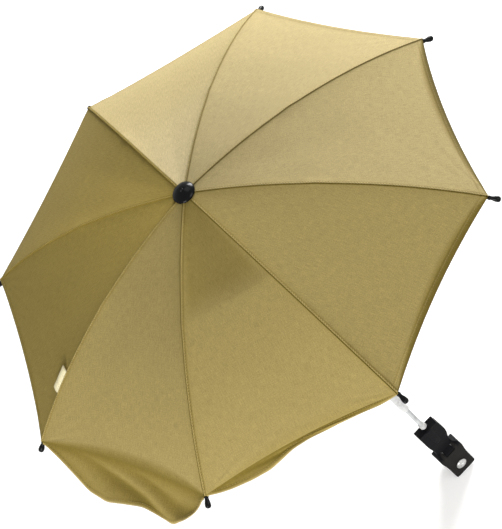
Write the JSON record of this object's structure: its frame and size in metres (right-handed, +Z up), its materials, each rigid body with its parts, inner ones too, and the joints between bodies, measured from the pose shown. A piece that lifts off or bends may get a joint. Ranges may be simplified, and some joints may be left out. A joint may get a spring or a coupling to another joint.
{
  "type": "pram parasol",
  "caption": "Folding pram parasol with curved ribs, a cloth dome with a sun flap, a mast with a tilt knuckle, and a clamp for a pram's tube.",
  "frame": {"origin": "centre of the clamp's tube channel", "axes": "+X along the clamped tube, -Y the front of the clamp with the bolt head, +Z up the mast to the cap"},
  "size_m": [0.6592, 0.6592, 0.7819],
  "materials": {
    "cloth": "woven cotton, matt",
    "woven_label": "woven",
    "gloss_black": "gloss",
    "black_plastic": "fine matt",
    "grey_plastic": "fine matt",
    "white_plastic": "satin",
    "painted_metal": "satin white enamel",
    "steel": "plated",
    "rubber": "matt"
  },
  "bodies": {
    "clamp_base": {"rear_jaw": "black_plastic", "rear_pad": "rubber", "hinge_pin": "steel"},
    "front_jaw": {"front_jaw": "grey_plastic", "front_pad": "rubber"},
    "clamp_bolt": {"clamp_bolt": "steel"},
    "clamp_knob": {"clamp_knob": "black_plastic"},
    "socket_arm": {"socket_arm": "black_plastic", "mast_collar": "white_plastic", "lower_mast": "painted_metal", "knuckle_lower": "white_plastic"},
    "mast": {"knuckle_upper": "white_plastic", "knuckle_pin": "steel", "upper_mast": "painted_metal", "lower_stop": "white_plastic", "catch_spring": "steel", "crown": "black_plastic", "crown_ring": "steel", "cap_washer": "black_plastic", "top_cap": "gloss_black"},
    "knuckle_button": {"knuckle_button": "grey_plastic"},
    "runner": {"runner": "black_plastic"},
    "rib_1": {"rib_1": "steel", "tip_1": "gloss_black", "panel_1": "cloth"},
    "rib_2": {"rib_2": "steel", "tip_2": "gloss_black", "panel_2": "cloth"},
    "rib_3": {"rib_3": "steel", "tip_3": "gloss_black", "panel_3": "cloth"},
    "rib_4": {"rib_4": "steel", "tip_4": "gloss_black", "panel_4": "cloth"},
    "rib_5": {"rib_5": "steel", "tip_5": "gloss_black", "panel_5": "cloth", "side_label": "woven_label"},
    "rib_6": {"rib_6": "steel", "tip_6": "gloss_black", "panel_6": "cloth"},
    "rib_7": {"rib_7": "steel", "tip_7": "gloss_black", "panel_7": "cloth"},
    "rib_8": {"rib_8": "steel", "tip_8": "gloss_black", "panel_8": "cloth"},
    "stretcher_1": {"stretcher_1": "steel"},
    "stretcher_2": {"stretcher_2": "steel"},
    "stretcher_3": {"stretcher_3": "steel"},
    "stretcher_4": {"stretcher_4": "steel"},
    "stretcher_5": {"stretcher_5": "steel"},
    "stretcher_6": {"stretcher_6": "steel"},
    "stretcher_7": {"stretcher_7": "steel"},
    "stretcher_8": {"stretcher_8": "steel"}
  },
  "joints": [
    {"name": "knob_turn", "type": "hinge", "parent": "clamp_base", "child": "clamp_knob", "pos_m": [0, 0.0143, -0.015], "axis": [0, 1, 0], "range_deg": [0, 1080]},
    {"name": "bolt_slide", "type": "slide", "parent": "clamp_base", "child": "clamp_bolt", "axis": [0, -1, 0], "range_m": [0, 0.006]},
    {"name": "jaw_hinge", "type": "hinge", "parent": "clamp_base", "child": "front_jaw", "pos_m": [0, -0.0045, 0.0212], "axis": [-1, 0, 0], "range_deg": [0, 7.6]},
    {"name": "arm_swivel", "type": "hinge", "parent": "clamp_base", "child": "socket_arm", "pos_m": [0, -0.0045, 0.0212], "axis": [1, 0, 0], "range_deg": [-45, 45]},
    {"name": "mast_tilt", "type": "hinge", "parent": "socket_arm", "child": "mast", "pos_m": [0, 0, 0.172], "axis": [0, 1, 0], "range_deg": [0, 90]},
    {"name": "tilt_button", "type": "slide", "parent": "mast", "child": "knuckle_button", "axis": [0, 1, 0], "range_m": [0, 0.0011], "stiffness_N_per_m": 800},
    {"name": "rib_1_fold", "type": "hinge", "parent": "mast", "child": "rib_1", "pos_m": [0.0085, 0, 0.73429], "axis": [0, 1, 0], "range_deg": [0, 68], "deforming": ["panel_1", "panel_2", "panel_3", "panel_4", "panel_5", "panel_6", "panel_7", "panel_8", "catch_spring"]},
    {"name": "rib_2_fold", "type": "hinge", "parent": "mast", "child": "rib_2", "pos_m": [0.00601, 0.00601, 0.73429], "axis": [-0.7071, 0.7071, 0], "range_deg": [0, 68]},
    {"name": "rib_3_fold", "type": "hinge", "parent": "mast", "child": "rib_3", "pos_m": [0, 0.0085, 0.73429], "axis": [-1, 0, 0], "range_deg": [0, 68]},
    {"name": "rib_4_fold", "type": "hinge", "parent": "mast", "child": "rib_4", "pos_m": [-0.00601, 0.00601, 0.73429], "axis": [-0.7071, -0.7071, 0], "range_deg": [0, 68]},
    {"name": "rib_5_fold", "type": "hinge", "parent": "mast", "child": "rib_5", "pos_m": [-0.0085, 0, 0.73429], "axis": [0, -1, 0], "range_deg": [0, 68]},
    {"name": "rib_6_fold", "type": "hinge", "parent": "mast", "child": "rib_6", "pos_m": [-0.00601, -0.00601, 0.73429], "axis": [0.7071, -0.7071, 0], "range_deg": [0, 68]},
    {"name": "rib_7_fold", "type": "hinge", "parent": "mast", "child": "rib_7", "pos_m": [0, -0.0085, 0.73429], "axis": [1, 0, 0], "range_deg": [0, 68]},
    {"name": "rib_8_fold", "type": "hinge", "parent": "mast", "child": "rib_8", "pos_m": [0.00601, -0.00601, 0.73429], "axis": [0.7071, 0.7071, 0], "range_deg": [0, 68]},
    {"name": "stretcher_1_turn", "type": "hinge", "parent": "rib_1", "child": "stretcher_1", "pos_m": [0.152, 0, 0.70687], "axis": [0, 1, 0], "range_deg": [-136, 0]},
    {"name": "stretcher_2_turn", "type": "hinge", "parent": "rib_2", "child": "stretcher_2", "pos_m": [0.10748, 0.10748, 0.70687], "axis": [-0.7071, 0.7071, 0], "range_deg": [-136, 0]},
    {"name": "stretcher_3_turn", "type": "hinge", "parent": "rib_3", "child": "stretcher_3", "pos_m": [0, 0.152, 0.70687], "axis": [-1, 0, 0], "range_deg": [-136, 0]},
    {"name": "stretcher_4_turn", "type": "hinge", "parent": "rib_4", "child": "stretcher_4", "pos_m": [-0.10748, 0.10748, 0.70687], "axis": [-0.7071, -0.7071, 0], "range_deg": [-136, 0]},
    {"name": "stretcher_5_turn", "type": "hinge", "parent": "rib_5", "child": "stretcher_5", "pos_m": [-0.152, 0, 0.70687], "axis": [0, -1, 0], "range_deg": [-136, 0]},
    {"name": "stretcher_6_turn", "type": "hinge", "parent": "rib_6", "child": "stretcher_6", "pos_m": [-0.10748, -0.10748, 0.70687], "axis": [0.7071, -0.7071, 0], "range_deg": [-136, 0]},
    {"name": "stretcher_7_turn", "type": "hinge", "parent": "rib_7", "child": "stretcher_7", "pos_m": [0, -0.152, 0.70687], "axis": [1, 0, 0], "range_deg": [-136, 0]},
    {"name": "stretcher_8_turn", "type": "hinge", "parent": "rib_8", "child": "stretcher_8", "pos_m": [0.10748, -0.10748, 0.70687], "axis": [0.7071, 0.7071, 0], "range_deg": [-136, 0]},
    {"name": "runner_slide", "type": "slide", "parent": "mast", "child": "runner", "axis": [0, 0, -1], "range_m": [0, 0.2318]}
  ],
  "couplings": [
    {"joint": "knob_turn", "follows": "bolt_slide", "rad_per_m": 3141.6},
    {"joint": "jaw_hinge", "follows": "bolt_slide", "rad_per_m": 22.108},
    {"joint": "rib_2_fold", "follows": "rib_1_fold", "ratio": 1},
    {"joint": "rib_3_fold", "follows": "rib_1_fold", "ratio": 1},
    {"joint": "rib_4_fold", "follows": "rib_1_fold", "ratio": 1},
    {"joint": "rib_5_fold", "follows": "rib_1_fold", "ratio": 1},
    {"joint": "rib_6_fold", "follows": "rib_1_fold", "ratio": 1},
    {"joint": "rib_7_fold", "follows": "rib_1_fold", "ratio": 1},
    {"joint": "rib_8_fold", "follows": "rib_1_fold", "ratio": 1},
    {"joint": "stretcher_1_turn", "follows": "rib_1_fold", "ratio": -2},
    {"joint": "stretcher_2_turn", "follows": "rib_1_fold", "ratio": -2},
    {"joint": "stretcher_3_turn", "follows": "rib_1_fold", "ratio": -2},
    {"joint": "stretcher_4_turn", "follows": "rib_1_fold", "ratio": -2},
    {"joint": "stretcher_5_turn", "follows": "rib_1_fold", "ratio": -2},
    {"joint": "stretcher_6_turn", "follows": "rib_1_fold", "ratio": -2},
    {"joint": "stretcher_7_turn", "follows": "rib_1_fold", "ratio": -2},
    {"joint": "stretcher_8_turn", "follows": "rib_1_fold", "ratio": -2},
    {"joint": "runner_slide", "follows": "rib_1_fold", "m_per_rad": 0.19531}
  ]
}
